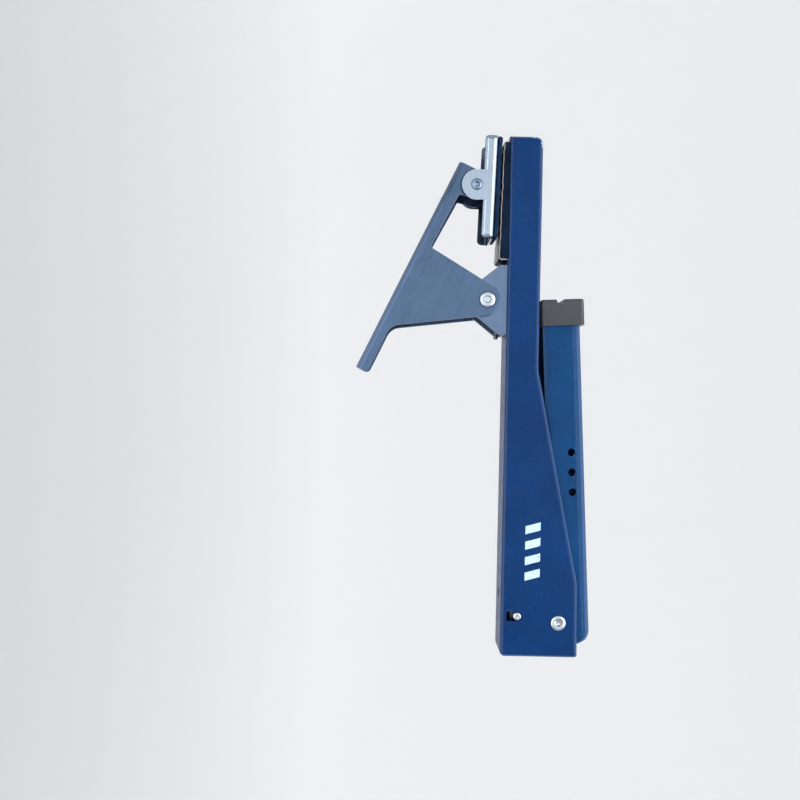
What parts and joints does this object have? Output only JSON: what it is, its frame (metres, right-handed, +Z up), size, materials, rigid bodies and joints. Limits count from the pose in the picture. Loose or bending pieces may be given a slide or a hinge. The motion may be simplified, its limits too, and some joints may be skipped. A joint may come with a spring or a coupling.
{
  "type": "table tennis net clamp",
  "caption": "Clip-on table tennis net clamp with a sprung jaw and a fold-down net post.",
  "frame": {"origin": "middle of the arm pad's gripping face, where the top of the table bears", "axes": "+X along the arm towards the post end, +Z up through the arm (the side the post folds down onto), +Y across"},
  "size_m": [0.21, 0.0236, 0.0964],
  "materials": {
    "arm_paint": "satin",
    "jaw_zinc": "satin",
    "lever_zinc": "satin",
    "nickel": "polished",
    "spring_steel": "satin",
    "rubber": "matte",
    "cap_plastic": "satin"
  },
  "bodies": {
    "arm": {"arm_channel": "arm_paint", "arm_pad": "rubber", "fulcrum_bracket": "lever_zinc", "bracket_rivets": "nickel", "spring_sleeve": "lever_zinc", "torsion_spring": "spring_steel", "post_rivet": "nickel", "stop_pin": "nickel", "detent_leaf": "spring_steel", "detent_rivet": "nickel"},
    "lever": {"clamp_lever": "lever_zinc", "fulcrum_pin": "nickel"},
    "jaw": {"jaw_plate": "jaw_zinc", "jaw_pad": "rubber", "jaw_pin": "lever_zinc"},
    "post": {"post_channel": "arm_paint", "post_cap": "cap_plastic"}
  },
  "joints": [
    {"name": "lever_hinge", "type": "hinge", "parent": "arm", "child": "lever", "pos_m": [0.04008, 0, -0.00465], "axis": [0, -1, 0], "range_deg": [0, 40], "stiffness_Nm_per_rad": 1.5, "springref_deg": -28.65, "deforming": ["torsion_spring"]},
    {"name": "jaw_swivel", "type": "hinge", "parent": "lever", "child": "jaw", "pos_m": [-0.0059, 0, -0.0099], "axis": [0, -1, 0], "range_deg": [-40, 0]},
    {"name": "post_fold", "type": "hinge", "parent": "arm", "child": "post", "pos_m": [0.169, 0, 0.0262], "axis": [0, 1, 0], "range_deg": [0, 111]}
  ],
  "couplings": [
    {"joint": "jaw_swivel", "follows": "lever_hinge", "ratio": -1}
  ]
}
